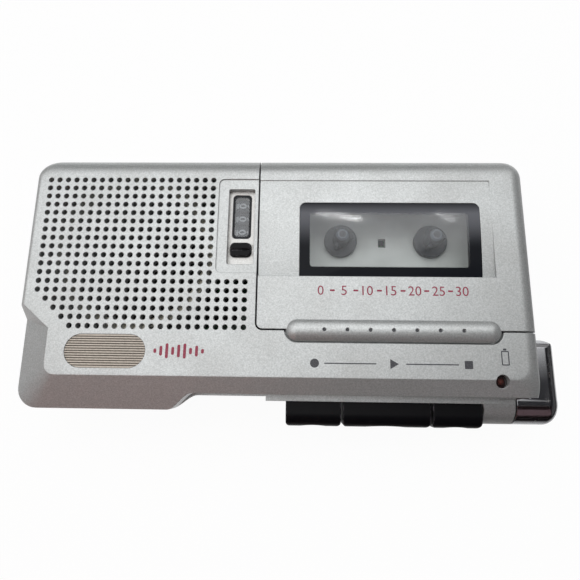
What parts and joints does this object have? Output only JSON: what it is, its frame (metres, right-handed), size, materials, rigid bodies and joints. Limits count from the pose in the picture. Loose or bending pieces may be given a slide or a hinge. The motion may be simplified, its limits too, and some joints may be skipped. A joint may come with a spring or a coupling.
{
  "type": "microcassette recorder",
  "caption": "Pocket microcassette recorder with a speaker grille, hinged lid with smoked window, tape counter, side keys and a chrome rocker at the corner.",
  "frame": {"origin": "middle of the body on the plane of its back face", "axes": "+X towards the lever end, +Y away from the keys, +Z out of the front"},
  "size_m": [0.1203, 0.0628, 0.0254],
  "materials": {
    "silver_case": "silver paint with fine metal flake on moulded plastic",
    "smoked_window": "smoked clear plastic with a black border",
    "mic_grey": "warm grey ribbed plastic",
    "bezel_grey": "light grey moulded plastic",
    "clear_lens": "clear plastic",
    "black_plastic": "black moulded plastic",
    "key_black": "near-black satin plastic",
    "lamp_red": "dark red clear plastic, unlit",
    "lever_chrome": "chrome plating with fine scratches",
    "steel": "plain steel",
    "cell_jacket": "printed cell jacket, bare of marks",
    "speaker_metal": "dark plated steel",
    "speaker_paper": "black pressed paper",
    "board_green": "green lacquered board",
    "chip_black": "black moulding",
    "switch_cream": "cream plastic",
    "deck_grey": "light grey deck",
    "spindle_grey": "dark grey plastic",
    "brass": "turned brass",
    "rubber": "black rubber"
  },
  "bodies": {
    "housing": {"rear_shell": "silver_case", "front_shell": "silver_case", "hinge_rod": "steel", "mic_grille": "mic_grey", "counter_bezel": "bezel_grey", "counter_lens": "clear_lens", "record_lamp": "lamp_red", "key_springs_record": "steel", "key_springs_play": "steel", "key_springs_stop": "steel", "lever_pin": "steel", "aa_cells": "cell_jacket", "cell_contacts": "steel", "case_screws": "steel", "speaker_basket": "speaker_metal", "speaker_cone": "speaker_paper", "speaker_magnet": "speaker_metal", "mic_capsule": "steel", "circuit_board": "board_green", "board_parts": "chip_black", "jack_panel": "black_plastic", "earphone_jack": "black_plastic", "microphone_jack": "black_plastic", "volume_control": "steel", "switch_bodies": "switch_cream", "deck_plate": "deck_grey", "deck_screws": "steel", "capstan_bush": "brass", "drive_motor": "steel", "drive_belt": "rubber", "idler_post": "steel", "counter_frame": "switch_cream", "counter_axle": "steel", "counter_belt": "rubber"},
    "lid": {"cassette_lid": "silver_case", "lid_window": "smoked_window"},
    "record_key": {"record_key": "key_black"},
    "play_key": {"play_key": "key_black"},
    "stop_key": {"stop_key": "key_black"},
    "cue_lever": {"cue_lever": "lever_chrome"},
    "reset_button": {"reset_button": "black_plastic"},
    "battery_door": {"battery_door": "silver_case"},
    "volume_dial": {"volume_dial": "black_plastic"},
    "voice_knob": {"voice_knob": "black_plastic"},
    "speed_knob": {"speed_knob": "black_plastic"},
    "supply_reel": {"supply_spindle": "spindle_grey"},
    "takeup_reel": {"takeup_spindle": "spindle_grey"},
    "flywheel": {"flywheel": "brass", "capstan": "steel"},
    "motor_pulley": {"motor_pulley": "brass"},
    "idler": {"idler_gear": "switch_cream"},
    "counter_worm": {"counter_worm": "switch_cream"},
    "units_wheel": {"units_wheel": "black_plastic"},
    "tens_wheel": {"tens_wheel": "black_plastic"},
    "hundreds_wheel": {"hundreds_wheel": "black_plastic"},
    "heads": {"head_plate": "steel", "record_head": "steel", "erase_head": "chip_black"},
    "pinch_roller": {"pinch_roller": "rubber"}
  },
  "joints": [
    {"name": "lid_hinge", "type": "hinge", "parent": "housing", "child": "lid", "pos_m": [0, 0.0279, 0.0183], "axis": [-1, 0, 0], "range_deg": [0, 80]},
    {"name": "record_press", "type": "slide", "parent": "housing", "child": "record_key", "axis": [0, 1, 0], "range_m": [0, 0.0025], "stiffness_N_per_m": 400, "deforming": ["key_springs_record"]},
    {"name": "play_press", "type": "slide", "parent": "housing", "child": "play_key", "axis": [0, 1, 0], "range_m": [0, 0.0025], "stiffness_N_per_m": 400, "deforming": ["key_springs_play"]},
    {"name": "stop_press", "type": "slide", "parent": "housing", "child": "stop_key", "axis": [0, 1, 0], "range_m": [0, 0.0025], "stiffness_N_per_m": 400, "deforming": ["key_springs_stop"]},
    {"name": "lever_rock", "type": "hinge", "parent": "housing", "child": "cue_lever", "pos_m": [0.0493, -0.0265, 0.01155], "axis": [1, 0, 0], "range_deg": [-12, 12], "stiffness_Nm_per_rad": 0.06},
    {"name": "reset_press", "type": "slide", "parent": "housing", "child": "reset_button", "axis": [0, 0, -1], "range_m": [0, 0.001], "stiffness_N_per_m": 300},
    {"name": "door_slide", "type": "slide", "parent": "housing", "child": "battery_door", "axis": [-1, 0, 0], "range_m": [0, 0.03]},
    {"name": "volume_turn", "type": "hinge", "parent": "housing", "child": "volume_dial", "pos_m": [-0.012, 0.0232, 0], "axis": [0, 0, 1], "range_deg": [-135, 135]},
    {"name": "voice_slide", "type": "slide", "parent": "housing", "child": "voice_knob", "axis": [0, 1, 0], "range_m": [-0.0012, 0.0012]},
    {"name": "speed_slide", "type": "slide", "parent": "housing", "child": "speed_knob", "axis": [0, 1, 0], "range_m": [-0.0012, 0.0012]},
    {"name": "flywheel_spin", "type": "hinge", "parent": "housing", "child": "flywheel", "pos_m": [0.041, -0.003, 0], "axis": [0, 0, 1], "continuous": true},
    {"name": "motor_spin", "type": "hinge", "parent": "housing", "child": "motor_pulley", "pos_m": [0.0065, -0.005, 0], "axis": [0, 0, 1], "continuous": true},
    {"name": "idler_spin", "type": "hinge", "parent": "housing", "child": "idler", "pos_m": [0.03258, 0.00028, 0], "axis": [0, 0, 1], "continuous": true},
    {"name": "takeup_spin", "type": "hinge", "parent": "housing", "child": "takeup_reel", "pos_m": [0.0372, 0.0114, 0], "axis": [0, 0, 1], "continuous": true},
    {"name": "supply_spin", "type": "hinge", "parent": "housing", "child": "supply_reel", "pos_m": [0.0152, 0.0114, 0], "axis": [0, 0, 1], "continuous": true},
    {"name": "worm_spin", "type": "hinge", "parent": "housing", "child": "counter_worm", "pos_m": [-0.01215, 0.0091, 0], "axis": [0, 0, 1], "continuous": true},
    {"name": "units_spin", "type": "hinge", "parent": "housing", "child": "units_wheel", "pos_m": [-0.00815, 0, 0.0191], "axis": [0, 1, 0], "continuous": true},
    {"name": "tens_spin", "type": "hinge", "parent": "housing", "child": "tens_wheel", "pos_m": [-0.00815, 0, 0.0191], "axis": [0, 1, 0], "continuous": true},
    {"name": "hundreds_spin", "type": "hinge", "parent": "housing", "child": "hundreds_wheel", "pos_m": [-0.00815, 0, 0.0191], "axis": [0, 1, 0], "continuous": true},
    {"name": "head_slide", "type": "slide", "parent": "housing", "child": "heads", "axis": [0, 1, 0], "range_m": [0, 0.003]},
    {"name": "pinch_spin", "type": "hinge", "parent": "heads", "child": "pinch_roller", "pos_m": [0.041, -0.0101, 0], "axis": [0, 0, 1], "continuous": true}
  ],
  "couplings": [
    {"joint": "motor_spin", "follows": "flywheel_spin", "ratio": 6.4375},
    {"joint": "idler_spin", "follows": "flywheel_spin", "ratio": -0.63636},
    {"joint": "takeup_spin", "follows": "flywheel_spin", "ratio": 0.53846},
    {"joint": "worm_spin", "follows": "supply_spin", "ratio": 1},
    {"joint": "units_spin", "follows": "supply_spin", "ratio": 0.1},
    {"joint": "tens_spin", "follows": "supply_spin", "ratio": 0.01},
    {"joint": "hundreds_spin", "follows": "supply_spin", "ratio": 0.001},
    {"joint": "head_slide", "follows": "play_press", "ratio": 1.2}
  ]
}
